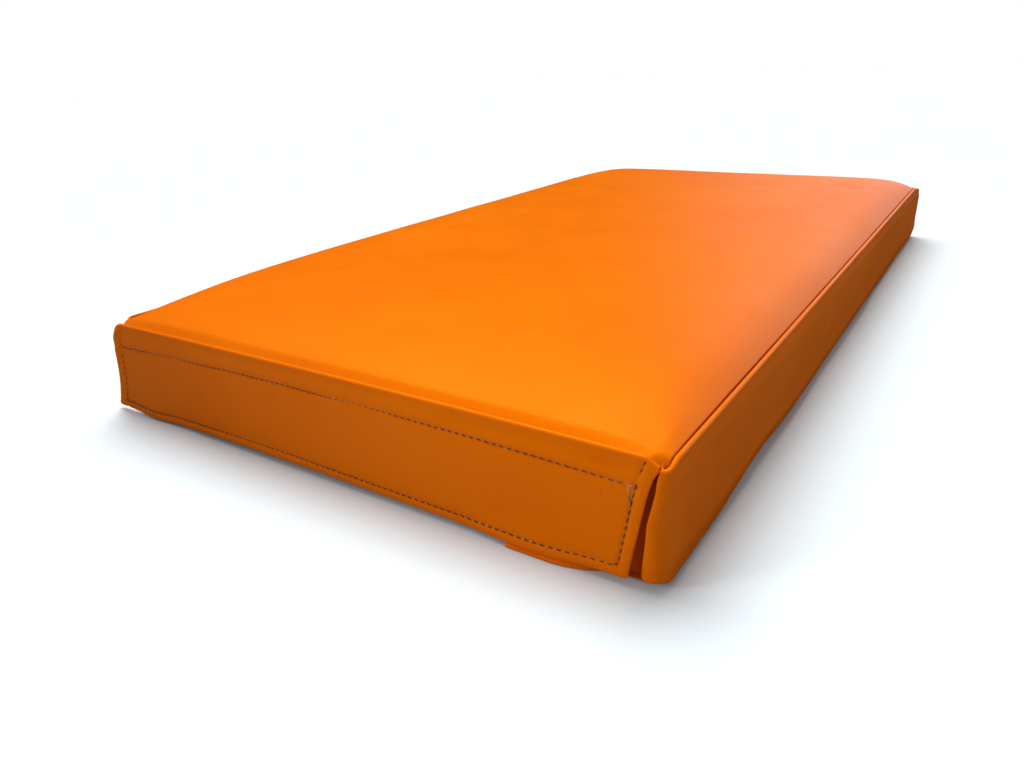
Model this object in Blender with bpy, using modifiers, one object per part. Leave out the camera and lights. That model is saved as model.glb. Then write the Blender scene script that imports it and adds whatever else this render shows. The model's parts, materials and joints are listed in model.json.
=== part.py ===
"""Vinyl-covered foam pad with a hook-and-loop flap across its front end.

Run with: blender --background --python part.py
Units are metres and +Z is up. The origin is under the middle of the pad, on the surface that it lies on.
+X runs across the pad, and +Y runs along it, away from the flap.

The foam block sits in a cover of flat sheets: a crowned top panel, a bottom panel, and two side strips (boxing)
that start at the middle of the rear, run round both corners of their side, and end in short returns across the
front. A fly stands on the bottom panel between the foam and the returns and carries the hook tape. The flap
hangs from the top panel's front seam and carries the loop tape, so it swings about that seam.
Each row of stitches is one continuous thread.
"""

import math

import bmesh
import bpy
from mathutils import Vector

# ---- driving dimensions ----
FOAM_WIDTH = 0.450
FOAM_LENGTH = 0.900
SEAM_HEIGHT = 0.0745      # floor to the top seam
CROWN = 0.0165            # rise of the top panel's middle above its seam
CROWN_ACROSS = 12.0       # how flat the crown is between its shoulders, across the pad
CROWN_ALONG = 9.0         # and along it
SHEET = 0.0010            # coated fabric
GAP = 0.0003              # between pieces that touch
CORNER_RADIUS = 0.015     # upright corners, outside
FOAM_EDGE = 0.004         # rounding of the foam's long edges
FOAM_DROP = 0.0014        # from the boxing's top down to the foam's edge, which clears the panel on its steep shoulder

RETURN_END_X = 0.130      # where the boxing's front returns stop
FLY_HALF_WIDTH = 0.205
FLY_TOP = 0.068

TAPE_WIDTH = 0.050        # hook-and-loop tape
TAPE_LOW = 0.0125
TAPE_BASE = 0.0005        # woven band
TAPE_SELVAGE = 0.0035     # bare edge that the stitches go through
HOOK_PILE = 0.0009
LOOP_PILE = 0.0008
HOOK_HALF_LENGTH = 0.125

FLAP_TOP = 0.0742
FLAP_LOW = 0.0030
FLAP_TOP_LEFT, FLAP_TOP_RIGHT = -0.2262, 0.2225
FLAP_SHEAR = 0.0142       # how far the flap's lower edge sits to the left of its upper one
HEM = 0.0090              # folded-in border
HEM_TOP = 0.0722          # the side hems stop below the top panel
HEM_STITCH = 0.0065       # stitch line, in from the flap's edge
FLAP_STITCH_TOP = 0.0702  # where the hem's stitches start
TAPE_STITCH_HIGH = 0.0607

THREAD_RADIUS = 0.00025
FINE_THREAD_RADIUS = 0.0002
THREAD_INSET = 0.0008     # seam thread, in from the walls that it joins
ARC_STEPS = 6
GRID_CELLS_X, GRID_CELLS_Y = 14, 26
CORNER_CELLS = 3
UPRIGHT = 0.1             # a face is upright if its normal's rise is less than this
ROUND = 0.5               # bevel profile of a circle

# ---- planes worked out from them ----
HALF_WIDTH = FOAM_WIDTH / 2 + GAP + SHEET
REAR_Y = FOAM_LENGTH / 2 + GAP + SHEET
FOAM_FRONT_Y = -FOAM_LENGTH / 2
FLY_Y = FOAM_FRONT_Y - GAP - SHEET
RETURN_INNER_Y = FLY_Y - GAP
RETURN_Y = RETURN_INNER_Y - SHEET
HOOK_BASE_Y = RETURN_INNER_Y - TAPE_BASE
HOOK_Y = HOOK_BASE_Y - HOOK_PILE
LOOP_INNER_Y = HOOK_Y - 2 * GAP
LOOP_BASE_Y = LOOP_INNER_Y - LOOP_PILE
LOOP_Y = LOOP_BASE_Y - TAPE_BASE
FLAP_INNER_Y = LOOP_Y - GAP
FLAP_Y = FLAP_INNER_Y - SHEET
BOXING_LOW = SHEET + GAP
BOXING_TOP = SEAM_HEIGHT - SHEET - GAP
TAPE_HIGH = TAPE_LOW + TAPE_WIDTH
FLAP_STITCH_Y = FLAP_Y - GAP - THREAD_RADIUS
HINGE = Vector((0.0, FLAP_Y, FLAP_TOP + SHEET / 2))   # the flap turns about its outer top edge

ORANGE = (1.0, 0.240, 0.003)
FOAM_GREY = (0.50, 0.50, 0.48)
TAPE_ORANGE = (0.80, 0.200, 0.010)
THREAD_GREY = (0.62, 0.60, 0.54)


def clear_scene():
    for obj in list(bpy.data.objects):
        bpy.data.objects.remove(obj)


def new_collection(name):
    collection = bpy.data.collections.new(name)
    bpy.context.scene.collection.children.link(collection)
    return collection


def new_material(name, colour, roughness):
    material = bpy.data.materials.new(name)
    material.use_nodes = True
    shader = material.node_tree.nodes["Principled BSDF"]
    shader.inputs["Base Color"].default_value = (*colour, 1.0)
    shader.inputs["Roughness"].default_value = roughness
    shader.inputs["Metallic"].default_value = 0.0
    return material


class Pad:
    """Adds the pad's pieces to its collection, each with its own material."""

    def __init__(self):
        self.parts = new_collection("vinyl_foam_pad")
        guides = new_collection("guides")
        self.hinge = bpy.data.objects.new("flap_hinge", None)
        self.hinge.location = HINGE
        self.hinge.hide_render = True
        guides.objects.link(self.hinge)

    def add(self, name, data, colour, roughness, on_flap=False):
        data.materials.append(new_material(name, colour, roughness))
        obj = bpy.data.objects.new(name, data)
        if on_flap:
            obj.parent = self.hinge
            if isinstance(data, bpy.types.Mesh):
                for vertex in data.vertices:
                    vertex.co -= HINGE
            else:
                for point in data.splines[0].points:
                    point.co = (*(point.co.xyz - HINGE), 1.0)
        self.parts.objects.link(obj)
        return obj


def solidify(obj, thickness, offset=0.0):
    modifier = obj.modifiers.new("thickness", "SOLIDIFY")
    modifier.thickness = thickness
    modifier.offset = offset
    modifier.use_even_offset = True


def mesh_from(bm, name):
    mesh = bpy.data.meshes.new(name)
    bmesh.ops.recalc_face_normals(bm, faces=bm.faces)
    bm.to_mesh(mesh)
    bm.free()
    return mesh


def box_bmesh(low, high):
    low, high = Vector(low), Vector(high)
    bm = bmesh.new()
    bmesh.ops.create_cube(bm, size=1.0)
    bmesh.ops.scale(bm, vec=high - low, verts=bm.verts)
    bmesh.ops.translate(bm, vec=(low + high) / 2, verts=bm.verts)
    return bm


def arc(centre, radius, start, end):
    """Points of an arc in plan, from start to end degrees."""
    angles = (start + (end - start) * k / ARC_STEPS for k in range(ARC_STEPS + 1))
    return [
        (centre[0] + radius * math.cos(math.radians(a)), centre[1] + radius * math.sin(math.radians(a)))
        for a in angles
    ]


def side_path(inset, front_y, front_end, rear_end):
    """Plan of one side's strip, at +X, inset from the boxing's outer face: rear, rear corner, side, front corner."""
    x, rear = HALF_WIDTH - inset, REAR_Y - inset
    front = front_y + inset
    r = CORNER_RADIUS - inset
    path = [(rear_end, rear)]
    path += arc((x - r, rear - r), r, 90, 0)
    path += arc((x - r, front + r), r, 0, -90)
    return path + [(front_end, front)]


def wall(name, path, low, high, mirrored):
    """An upright sheet that stands on a plan path."""
    sign = -1 if mirrored else 1
    bm = bmesh.new()
    verts = [bm.verts.new((sign * x, y, low)) for x, y in path]
    edges = [bm.edges.new(pair) for pair in zip(verts, verts[1:])]
    made = bmesh.ops.extrude_edge_only(bm, edges=edges)["geom"]
    raised = [v for v in made if isinstance(v, bmesh.types.BMVert)]
    bmesh.ops.translate(bm, vec=(0, 0, high - low), verts=raised)
    return mesh_from(bm, name)


def stations(half, radius, cells):
    """Places of the grid lines from -half to half, close together near both ends."""
    quarter = [math.radians(90 * k / CORNER_CELLS) for k in range(CORNER_CELLS)]
    near_edge = [-half + radius * (1 - math.cos(a)) for a in quarter]
    straight = [-(half - radius) * math.cos(math.pi * k / cells) for k in range(cells + 1)]
    return near_edge + straight + [-s for s in reversed(near_edge)]


def round_corner(x, y, half_x, half_y, radius):
    """Moves a point of a rectangle's corner square into the quarter disc that rounds the corner."""
    dx = (abs(x) - (half_x - radius)) / radius
    dy = (abs(y) - (half_y - radius)) / radius
    if dx <= 0 or dy <= 0:
        return x, y
    shrink = max(dx, dy) / math.hypot(dx, dy)
    return (
        math.copysign(half_x - radius + radius * dx * shrink, x),
        math.copysign(half_y - radius + radius * dy * shrink, y),
    )


def crown(x, y):
    """Height of the crowned top above its edge."""
    across = 1 - min(abs(x) / HALF_WIDTH, 1) ** CROWN_ACROSS
    along = 1 - min(abs(y) / REAR_Y, 1) ** CROWN_ALONG
    return CROWN * across * along


def crowned_grid(half_x, half_y, centre_y, radius, edge_height):
    """An open crowned surface with rounded corners in plan."""
    xs = stations(half_x, radius, GRID_CELLS_X)
    ys = stations(half_y, radius, GRID_CELLS_Y)
    bm = bmesh.new()
    bmesh.ops.create_grid(bm, x_segments=len(xs) - 1, y_segments=len(ys) - 1, size=1.0)
    for vertex in bm.verts:
        column = round((vertex.co.x + 1) / 2 * (len(xs) - 1))
        row = round((vertex.co.y + 1) / 2 * (len(ys) - 1))
        x, y = round_corner(xs[column], ys[row], half_x, half_y, radius)
        vertex.co = (x, y + centre_y, edge_height + crown(x, y))
    return bm


def add_foam(pad):
    """The foam block: a crowned top, straight sides and rounded edges."""
    radius = CORNER_RADIUS - SHEET - GAP
    bm = crowned_grid(FOAM_WIDTH / 2, FOAM_LENGTH / 2, 0.0, radius, BOXING_TOP - FOAM_DROP)
    made = bmesh.ops.extrude_face_region(bm, geom=bm.faces[:])["geom"]
    for item in made:
        if isinstance(item, bmesh.types.BMVert):
            item.co.z = BOXING_LOW
    bmesh.ops.recalc_face_normals(bm, faces=bm.faces)
    rims = [e for e in bm.edges if len({abs(f.normal.z) < UPRIGHT for f in e.link_faces}) == 2]
    bmesh.ops.bevel(bm, geom=rims, offset=FOAM_EDGE, segments=2, affect="EDGES", profile=ROUND)
    pad.add("foam_core", mesh_from(bm, "foam_core"), FOAM_GREY, 0.95)


def add_top_panel(pad):
    front = LOOP_Y
    centre_y = (front + REAR_Y) / 2
    bm = crowned_grid(HALF_WIDTH, (REAR_Y - front) / 2, centre_y, CORNER_RADIUS, SEAM_HEIGHT - SHEET / 2)
    obj = pad.add("top_panel", mesh_from(bm, "top_panel"), ORANGE, 0.35)
    solidify(obj, SHEET)
    obj.data.shade_smooth()


def add_bottom_panel(pad):
    bm = box_bmesh((-HALF_WIDTH, RETURN_Y, 0), (HALF_WIDTH, REAR_Y, SHEET))
    upright = [e for e in bm.edges if abs(e.verts[0].co.z - e.verts[1].co.z) > SHEET / 2]
    bmesh.ops.bevel(bm, geom=upright, offset=CORNER_RADIUS, segments=ARC_STEPS, affect="EDGES", profile=ROUND)
    pad.add("bottom_panel", mesh_from(bm, "bottom_panel"), ORANGE, 0.35)


def add_boxing(pad):
    """The two side strips. They meet in a plain seam in the middle of the rear."""
    path = side_path(SHEET / 2, RETURN_Y, RETURN_END_X, GAP / 2)
    for name, mirrored in (("right_boxing", False), ("left_boxing", True)):
        obj = pad.add(name, wall(name, path, BOXING_LOW, BOXING_TOP, mirrored), ORANGE, 0.35)
        solidify(obj, SHEET)


def tape_bmesh(left, right, back_y, base, pile):
    """A tape on its back plane: a thin band with bare edges and a raised pile, both facing base's way."""
    band_y = back_y + base
    bm = box_bmesh((left, min(back_y, band_y), TAPE_LOW), (right, max(back_y, band_y), TAPE_HIGH))
    bm.faces.ensure_lookup_table()
    face = min(bm.faces, key=lambda f: abs(f.calc_center_median().y - band_y))
    bmesh.ops.inset_region(bm, faces=[face], thickness=TAPE_SELVAGE)
    raised = bmesh.ops.extrude_discrete_faces(bm, faces=[face])["faces"][0]
    bmesh.ops.translate(bm, vec=(0, math.copysign(pile, base), 0), verts=raised.verts)
    return bm


def add_fly_and_hook_tape(pad):
    bm = box_bmesh((-FLY_HALF_WIDTH, FLY_Y, BOXING_LOW), (FLY_HALF_WIDTH, FLY_Y + SHEET, FLY_TOP))
    pad.add("front_fly", mesh_from(bm, "front_fly"), ORANGE, 0.35)
    bm = tape_bmesh(-HOOK_HALF_LENGTH, HOOK_HALF_LENGTH, RETURN_INNER_Y, -TAPE_BASE, HOOK_PILE)
    pad.add("hook_tape", mesh_from(bm, "hook_tape"), TAPE_ORANGE, 0.8)


def flap_left(z):
    return FLAP_TOP_LEFT - FLAP_SHEAR * (FLAP_TOP - z) / (FLAP_TOP - FLAP_LOW)


def flap_right(z):
    return FLAP_TOP_RIGHT - FLAP_SHEAR * (FLAP_TOP - z) / (FLAP_TOP - FLAP_LOW)


def shear(bm):
    for vertex in bm.verts:
        vertex.co.x -= FLAP_SHEAR * (FLAP_TOP - vertex.co.z) / (FLAP_TOP - FLAP_LOW)


def add_flap(pad):
    """The flap: one sheet, doubled by a folded hem along its sides and lower edge."""
    bm = box_bmesh((FLAP_TOP_LEFT, FLAP_Y, FLAP_LOW), (FLAP_TOP_RIGHT, FLAP_INNER_Y, FLAP_TOP))
    for plane, direction in (
        (FLAP_TOP_LEFT + HEM, (1, 0, 0)),
        (FLAP_TOP_RIGHT - HEM, (1, 0, 0)),
        (FLAP_LOW + HEM, (0, 0, 1)),
        (HEM_TOP, (0, 0, 1)),
    ):
        point = Vector(direction) * plane
        geometry = bm.verts[:] + bm.edges[:] + bm.faces[:]
        bmesh.ops.bisect_plane(bm, geom=geometry, plane_co=point, plane_no=direction)
    hem = [f for f in bm.faces if in_hem(f.calc_center_median())]
    made = bmesh.ops.extrude_face_region(bm, geom=hem)["geom"]
    moved = [v for v in made if isinstance(v, bmesh.types.BMVert)]
    bmesh.ops.delete(bm, geom=hem, context="FACES_ONLY")
    bmesh.ops.translate(bm, vec=(0, SHEET, 0), verts=moved)
    shear(bm)
    pad.add("closing_flap", mesh_from(bm, "closing_flap"), ORANGE, 0.35, on_flap=True)


def in_hem(centre):
    """True for the middle of a face on the flap's inner side that lies in the hem."""
    at_side = centre.x < FLAP_TOP_LEFT + HEM or centre.x > FLAP_TOP_RIGHT - HEM
    inside = centre.y > FLAP_INNER_Y - GAP and centre.z < HEM_TOP
    return inside and (at_side or centre.z < FLAP_LOW + HEM)


def add_loop_tape(pad):
    clear = HEM + GAP
    bm = tape_bmesh(FLAP_TOP_LEFT + clear, FLAP_TOP_RIGHT - clear, LOOP_Y, TAPE_BASE, LOOP_PILE)
    shear(bm)
    pad.add("loop_tape", mesh_from(bm, "loop_tape"), TAPE_ORANGE, 0.9, on_flap=True)


def thread(pad, name, points, radius=THREAD_RADIUS, on_flap=False):
    """One row of stitches, as a continuous thread."""
    curve = bpy.data.curves.new(name, "CURVE")
    curve.dimensions = "3D"
    curve.bevel_depth = radius
    curve.bevel_resolution = 2
    curve.use_fill_caps = True
    spline = curve.splines.new("POLY")
    spline.points.add(len(points) - 1)
    for point, place in zip(spline.points, points):
        point.co = (*place, 1.0)
    return pad.add(name, curve, THREAD_GREY, 0.7, on_flap)


def add_flap_threads(pad):
    low = FLAP_LOW + HEM_STITCH
    hem = [
        Vector((flap_right(FLAP_STITCH_TOP) - HEM_STITCH, FLAP_STITCH_Y, FLAP_STITCH_TOP)),
        Vector((flap_right(low) - HEM_STITCH, FLAP_STITCH_Y, low)),
        Vector((flap_left(low) + HEM_STITCH, FLAP_STITCH_Y, low)),
        Vector((flap_left(FLAP_STITCH_TOP) + HEM_STITCH, FLAP_STITCH_Y, FLAP_STITCH_TOP)),
    ]
    thread(pad, "flap_hem_thread", hem, on_flap=True)
    clear = HEM_STITCH + 2 * THREAD_RADIUS + GAP
    z = TAPE_STITCH_HIGH
    row = [
        Vector((flap_left(z) + clear, FLAP_STITCH_Y, z)),
        Vector((flap_right(z) - clear, FLAP_STITCH_Y, z)),
    ]
    thread(pad, "loop_tape_thread", row, on_flap=True)


def add_fixed_threads(pad):
    edge = HOOK_HALF_LENGTH - TAPE_SELVAGE / 2
    y = HOOK_BASE_Y - GAP - FINE_THREAD_RADIUS
    for name, z in (
        ("hook_tape_upper_thread", TAPE_HIGH - TAPE_SELVAGE / 2),
        ("hook_tape_lower_thread", TAPE_LOW + TAPE_SELVAGE / 2),
    ):
        thread(pad, name, [Vector((-edge, y, z)), Vector((edge, y, z))], FINE_THREAD_RADIUS)

    y = RETURN_Y - GAP / 2 - FINE_THREAD_RADIUS
    for name, sign in (("right_return_thread", 1), ("left_return_thread", -1)):
        x = sign * (RETURN_END_X + HEM)
        low, high = BOXING_LOW + HEM, BOXING_TOP - HEM
        thread(pad, name, [Vector((x, y, low)), Vector((x, y, high))], FINE_THREAD_RADIUS)

    inset = SHEET + THREAD_INSET
    low, high = SHEET + THREAD_INSET + GAP, SEAM_HEIGHT - SHEET - THREAD_INSET - GAP
    half = side_path(inset, RETURN_Y, RETURN_END_X, 0.0)
    loop = half[:0:-1] + [(-x, y) for x, y in half[1:]]
    thread(pad, "top_seam_thread", [Vector((x, y, high)) for x, y in loop])
    end_y = RETURN_Y + CORNER_RADIUS
    sides = [(x, y) for x, y in loop if y >= end_y - GAP]
    thread(pad, "bottom_seam_thread", [Vector((x, y, low)) for x, y in sides])

    end = FLY_HALF_WIDTH - HEM
    y = FOAM_FRONT_Y - GAP + THREAD_INSET
    thread(pad, "fly_seam_thread", [Vector((-end, y, low)), Vector((end, y, low))])
    end = HALF_WIDTH - HEM
    y = (RETURN_Y + FLAP_INNER_Y) / 2
    thread(pad, "flap_seam_thread", [Vector((-end, y, high)), Vector((end, y, high))])


def main():
    clear_scene()
    pad = Pad()
    add_foam(pad)
    add_top_panel(pad)
    add_bottom_panel(pad)
    add_boxing(pad)
    add_fly_and_hook_tape(pad)
    add_flap(pad)
    add_loop_tape(pad)
    add_flap_threads(pad)
    add_fixed_threads(pad)


main()
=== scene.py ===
"""Looks of the vinyl-covered foam pad: sewn cover, hanging flap, stitches, tapes, foam and stage.

Metres, in the frame's axes: +X across the pad, +Y away from the flap, +Z up.
A sheet is made from a grid of points worked out with numpy. "out" is a distance outwards from the outline
that the cover's seams follow.
"""

import json
import math

import bpy
import numpy as np
from mathutils import Matrix, Vector

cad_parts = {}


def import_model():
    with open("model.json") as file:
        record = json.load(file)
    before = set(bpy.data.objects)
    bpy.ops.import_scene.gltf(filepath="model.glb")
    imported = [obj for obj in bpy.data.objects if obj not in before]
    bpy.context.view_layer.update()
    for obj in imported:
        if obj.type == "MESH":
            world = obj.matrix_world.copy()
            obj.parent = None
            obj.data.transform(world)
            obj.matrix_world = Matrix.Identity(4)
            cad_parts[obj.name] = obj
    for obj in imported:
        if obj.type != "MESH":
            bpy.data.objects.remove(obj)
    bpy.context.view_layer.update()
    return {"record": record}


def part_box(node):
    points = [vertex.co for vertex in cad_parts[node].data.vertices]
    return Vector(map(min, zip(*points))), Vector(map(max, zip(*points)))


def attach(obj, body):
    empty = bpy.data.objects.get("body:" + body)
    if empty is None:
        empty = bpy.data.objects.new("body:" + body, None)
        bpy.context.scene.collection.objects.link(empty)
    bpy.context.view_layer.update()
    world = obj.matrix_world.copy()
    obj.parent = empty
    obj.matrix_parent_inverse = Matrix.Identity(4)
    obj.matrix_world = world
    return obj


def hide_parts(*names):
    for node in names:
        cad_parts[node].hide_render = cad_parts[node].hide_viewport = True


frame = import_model()

# ---- places from the frame ----
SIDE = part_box("right_boxing")[1].x          # outer face of the side boxing
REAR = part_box("right_boxing")[1].y
RETURN_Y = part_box("right_boxing")[0].y      # outer face of the front returns
HINGE = Vector(frame["record"]["behaviour"]["joints"][0]["pos_m"])
FRONT = HINGE.y                             # the front outline lies on the flap's hinge
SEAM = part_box("top_panel")[0].z + 0.0005    # floor to the seam along the sides
FLY_LOW, FLY_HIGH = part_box("front_fly")
HOOK_LOW, HOOK_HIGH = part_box("hook_tape")
LOOP_LOW, LOOP_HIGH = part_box("loop_tape")
FOAM_LOW, FOAM_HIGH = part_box("foam_core")
FLAP_LOW, FLAP_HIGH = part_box("closing_flap")
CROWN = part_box("top_panel")[1].z - SEAM

# ---- sizes of what the frame leaves out ----
SHEET = 0.0009
ROLL = 0.0018                 # radius of the rolled edge beside a seam
GROOVE = 0.0004               # open gap between a rolled edge and the top panel
HEM = 0.0090
STITCH = 0.0050               # pitch of the stitches in the flap and the seams
HOOK_PITCH = 0.0036           # and along the hook tape
RETURN_PITCH = 0.0042         # and in the returns' hems
THREAD = 0.00028              # radius of the flap's thread
TAPE_THREAD = 0.00026
SEAM_THREAD = 0.00024
SLANT = 0.0006                # each stitch lies a little across its row
FLAP_FACE = FRONT - ROLL      # outer face of the flap just under its rolled edge
FLAP_BELLY = 0.0012           # how much further out that face stands lower down
FRONT_DROP = 0.0024           # how far the top panel dips behind the flap's seam
RETURN_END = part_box("right_return_thread")[0].x - HEM
LEFT_BOW = 0.0100             # how far the left side swells in the middle
TIP_X = SIDE - 0.0030         # near right corner of the top panel, pulled down where three seams meet
PULL, PULL_REACH = 0.0042, 0.0100
CORNER_Y = RETURN_Y - 0.0034  # the right boxing swells forwards beside the flap
GAP_DEPTH = 0.0046            # and falls back behind the flap's edge
FLY_TRIM = 0.0210             # how much shorter than its solid the fly is, on each side
FOAM_CORNER = 0.0340          # radius of the foam's worn corners

# ---- light ----
FLOOR_SEEN = (0.915, 1.03, 1.09)    # for the camera: a little blue, against the orange light off the pad
FLOOR_BOUNCE = (0.42, 0.42, 0.42)   # what the floor throws back on matt surfaces
FLOOR_GLOSS = (0.10, 0.05, 0.01)    # what gloss reflects of the floor
ROOM = (0.27, 0.27, 0.27)           # what lights matt surfaces from all round
GLOSS_ROOM = (0.05, 0.02, 0.0)      # what gloss reflects outside the veil
VEIL = (1.05, 1.07, 1.17)           # soft bright patch that gloss reflects
VEIL_AIM = (8.0, 12.0)              # its azimuth from +Y towards +X, and its elevation, in degrees
VEIL_EDGE = 0.84                    # cosine of its half width
WHITE = (1.0, 1.0, 1.0)
SUN = 2.85
SUN_SPREAD = 50.0                   # in degrees
SUN_TOWARDS = (0.34, -0.35, -1.0)
SUN_COLOUR = (1.0, 0.99, 0.97)
SUN_ON_GLOSS = (1.0, 0.60, 0.0)
FILL = 0.17                         # small, because a narrow lamp is bright for its power
FILL_SPREAD = 27.0
FILL_SIZE = 0.35
FILL_COLOUR = (1.0, 0.97, 0.93)
FILL_PLACE = Vector((SIDE - 0.95, FRONT - 0.95, 0.55))
FILL_TARGET = Vector((SIDE + 0.03, FRONT, 0.03))


# ---- small maths ----
def smooth(t):
    """From 0 to 1 as t does, with soft ends, and flat beyond them."""
    t = np.clip(t, 0.0, 1.0)
    return t * t * (3 - 2 * t)


def hump(x, centre, width):
    """A rounded bump, 1 high."""
    return np.exp(-(((x - centre) / width) ** 2))


def ripple(x, y, seed, longest, shortest, count=6):
    """A smooth field of waves in mixed directions, about -1 to 1."""
    rng = np.random.default_rng(seed)
    total = 0.0
    for k in range(count):
        length = longest * (shortest / longest) ** (k / max(count - 1, 1))
        angle, phase = rng.uniform(0, 2 * math.pi, 2)
        along = x * math.cos(angle) + y * math.sin(angle)
        total = total + np.sin(2 * math.pi * along / length + phase) * (length / longest) ** 0.6
    return total / count * 1.6


def stations(start, end, edge, fine, coarse):
    """Places from start to end, fine steps near both ends and coarse ones between."""
    half = (end - start) / 2
    places = [0.0]
    while places[-1] < half:
        places.append(places[-1] + fine + (coarse - fine) * float(smooth(places[-1] / edge)))
    near = np.array(places) * (half / places[-1])
    return np.concatenate([start + near, end - near[-2::-1]])


# ---- mesh helpers ----
def xyz(x, y, z):
    """Points from their coordinates, each of which is an array or one number."""
    return np.stack(np.broadcast_arrays(x, y, z), axis=-1)


def new_piece(name, points, faces, material):
    """A smooth object from points and faces, in the scene."""
    mesh = bpy.data.meshes.new(name)
    mesh.from_pydata(points.reshape(-1, 3).tolist(), [], [list(map(int, f)) for f in faces])
    mesh.validate()
    mesh.shade_smooth()
    mesh.materials.append(material)
    obj = bpy.data.objects.new(name, mesh)
    bpy.context.scene.collection.objects.link(obj)
    return obj


def mark(obj, name, values):
    """Keeps one number for each point of a piece, which its material reads."""
    attribute = obj.data.attributes.new(name, "FLOAT", "POINT")
    attribute.data.foreach_set("value", np.asarray(values, np.float32))


def grid_faces(rows, columns, first=0, flip=False):
    """Quads of a grid of points stored row by row."""
    r, c = np.meshgrid(np.arange(rows - 1), np.arange(columns - 1), indexing="ij")
    a = first + (r * columns + c).ravel()
    quads = np.stack([a, a + 1, a + columns + 1, a + columns], axis=1)
    return quads[:, ::-1] if flip else quads


def rim_of(rows, columns):
    """Indices of a grid's outer points, in order round it."""
    index = np.arange(rows * columns).reshape(rows, columns)
    return np.concatenate([index[0, :-1], index[:-1, -1], index[-1, :0:-1], index[:0:-1, 0]])


def quads_between(rings):
    """Quads that join each closed ring of points to the next."""
    return [np.stack([a, b, np.roll(b, -1), np.roll(a, -1)], axis=1) for a, b in zip(rings, rings[1:])]


def closed_piece(name, first, second, joins, material):
    """A closed piece: two grids of points, and the rings of points that join their rims."""
    rows, columns = first.shape[:2]
    count = rows * columns
    rim = rim_of(rows, columns)
    new_rings = [2 * count + k * len(rim) + np.arange(len(rim)) for k in range(len(joins))]
    faces = [grid_faces(rows, columns), grid_faces(rows, columns, count, flip=True)]
    faces += quads_between([rim, *new_rings, rim + count])
    points = [first.reshape(-1, 3), second.reshape(-1, 3), *joins]
    return new_piece(name, np.concatenate(points), np.concatenate(faces), material)


def thicken(obj):
    """Gives a sheet its thickness, inwards."""
    modifier = obj.modifiers.new("thickness", "SOLIDIFY")
    modifier.thickness = SHEET
    modifier.offset = -1.0


def slab(name, outer, inner, material, rim_steps=4):
    """A closed sheet between two grids of points, with a rounded edge all round."""
    rows, columns = outer.shape[:2]
    flat = outer.reshape(-1, 3)
    rim = rim_of(rows, columns)
    row, column = rim // columns, rim % columns
    inside = np.clip(row, 1, rows - 2) * columns + np.clip(column, 1, columns - 2)
    outward = flat[rim] - flat[inside]
    across = inner.reshape(-1, 3)[rim] - flat[rim]
    depth = np.linalg.norm(across, axis=1, keepdims=True)
    unit = across / np.maximum(depth, 1e-9)
    outward -= unit * np.sum(outward * unit, axis=1, keepdims=True)
    outward /= np.maximum(np.linalg.norm(outward, axis=1, keepdims=True), 1e-9)
    joins = []
    for k in range(1, rim_steps):
        angle = math.pi * k / rim_steps
        share = (1 - math.cos(angle)) / 2
        joins.append(flat[rim] + across * share + outward * depth / 2 * math.sin(angle))
    return closed_piece(name, outer, inner, joins, material)


def tubes(name, paths, radius, material, sides=6, unshaded=0):
    """Many short round threads in one mesh, the last few without painted shade. paths has the shape
    (threads, points, 3).
    """
    paths = np.asarray(paths, float)
    count, steps = paths.shape[:2]
    tangent = np.gradient(paths, axis=1)
    tangent /= np.maximum(np.linalg.norm(tangent, axis=2, keepdims=True), 1e-12)
    helper = np.where(np.abs(tangent[..., 2:3]) > 0.9, (1.0, 0.0, 0.0), (0.0, 0.0, 1.0))
    first = np.cross(tangent, helper)
    first /= np.linalg.norm(first, axis=2, keepdims=True)
    second = np.cross(tangent, first)
    angle = np.arange(sides) * 2 * math.pi / sides
    taper = np.sqrt(np.clip(np.sin(np.linspace(0.12, math.pi - 0.12, steps)) * 2.2, 0.0, 1.0))
    ring = first[:, :, None] * np.cos(angle)[:, None] + second[:, :, None] * np.sin(angle)[:, None]
    points = paths[:, :, None] + ring * (radius * taper)[None, :, None, None]
    k, s, a = np.meshgrid(np.arange(count), np.arange(steps - 1), np.arange(sides), indexing="ij")
    start = (k * steps + s) * sides
    ahead = start + (a + 1) % sides
    quads = np.stack([start + a, ahead, ahead + sides, start + sides + a], 3)
    base = np.arange(count)[:, None] * steps * sides
    front = base + np.arange(sides)[None, ::-1]
    back = base + (steps - 1) * sides + np.arange(sides)[None]
    faces = list(quads.reshape(-1, 4)) + list(front) + list(back)
    obj = new_piece(name, points, faces, material)
    # how far along its thread each point lies, which the thread's painted shade follows
    run = np.tile(np.linspace(0, 1, steps), (count, 1))
    run[count - unshaded:] = 1.0
    mark(obj, "along_thread", np.repeat(run, sides))
    return obj


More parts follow.
